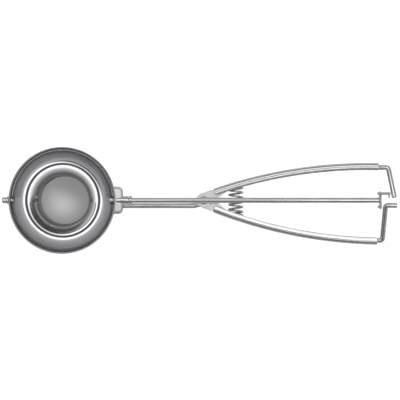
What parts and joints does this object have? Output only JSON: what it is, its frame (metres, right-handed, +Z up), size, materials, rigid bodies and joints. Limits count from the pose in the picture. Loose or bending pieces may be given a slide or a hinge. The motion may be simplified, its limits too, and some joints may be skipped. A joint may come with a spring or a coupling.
{
  "type": "squeeze-handled ice cream scoop",
  "caption": "Round scoop bowl on a long neck with two sprung grips; squeezing them turns a shaft whose blade sweeps round inside the bowl.",
  "frame": {"origin": "centre of the spherical bowl, on the axis of the drive shaft", "axes": "+X along the drive shaft towards the grips, +Z up out of the mouth of the bowl, +Y towards the upper grip"},
  "size_m": [0.2293, 0.062, 0.0351],
  "materials": {
    "bowl_steel": "mirror polished stainless steel",
    "blade_steel": "stainless strip with fine lengthwise grain",
    "neck_steel": "satin stainless steel",
    "rod_steel": "polished drawn stainless rod",
    "rivet_steel": "turned steel, slightly dull",
    "grip_steel": "polished bent sheet steel",
    "spring_steel": "drawn spring wire"
  },
  "bodies": {
    "frame": {"bowl": "bowl_steel", "saddle": "neck_steel", "bush": "rod_steel", "front_pin": "rod_steel", "front_washer": "rod_steel", "stay_rod": "rod_steel", "rivet": "rivet_steel", "rivet_sleeve": "rivet_steel", "rivet_washer": "rivet_steel", "spring": "spring_steel"},
    "blade_shaft": {"shaft": "rod_steel", "blade": "blade_steel", "blade_hub": "rod_steel", "shaft_collar": "rod_steel", "crank": "neck_steel"},
    "upper_grip": {"grip_upper": "grip_steel", "plug_upper": "neck_steel", "seat_upper": "rivet_steel"},
    "lower_grip": {"grip_lower": "grip_steel", "plug_lower": "neck_steel", "seat_lower": "rivet_steel"},
    "upper_link": {"link_upper": "rod_steel", "retainer_upper": "rivet_steel"},
    "lower_link": {"link_lower": "rod_steel", "retainer_lower": "rivet_steel"}
  },
  "joints": [
    {"name": "shaft_turn", "type": "hinge", "parent": "frame", "child": "blade_shaft", "pos_m": [0, 0, 0], "axis": [-1, 0, 0], "range_deg": [0, 124], "stiffness_Nm_per_rad": 0.02, "springref_deg": -57.3},
    {"name": "upper_grip_squeeze", "type": "hinge", "parent": "frame", "child": "upper_grip", "pos_m": [0.0822, 0, 0], "axis": [0, 0, -1], "range_deg": [0, 2.97], "deforming": ["spring"]},
    {"name": "lower_grip_squeeze", "type": "hinge", "parent": "frame", "child": "lower_grip", "pos_m": [0.0822, 0, 0], "axis": [0, 0, 1], "range_deg": [0, 3.26]},
    {"name": "upper_link_tilt", "type": "hinge", "parent": "upper_grip", "child": "upper_link", "pos_m": [0.18382, 0.01914, -0.0052], "axis": [1, 0, 0], "range_deg": [0, 1.78]},
    {"name": "lower_link_tilt", "type": "hinge", "parent": "lower_grip", "child": "lower_link", "pos_m": [0.18294, -0.02335, -0.0052], "axis": [1, 0, 0], "range_deg": [0, 1.43]}
  ],
  "couplings": [
    {"joint": "upper_grip_squeeze", "follows": "shaft_turn", "ratio": 0.023894},
    {"joint": "lower_grip_squeeze", "follows": "shaft_turn", "ratio": 0.026273},
    {"joint": "upper_link_tilt", "follows": "shaft_turn", "ratio": 0.014328},
    {"joint": "lower_link_tilt", "follows": "shaft_turn", "ratio": 0.01146}
  ]
}
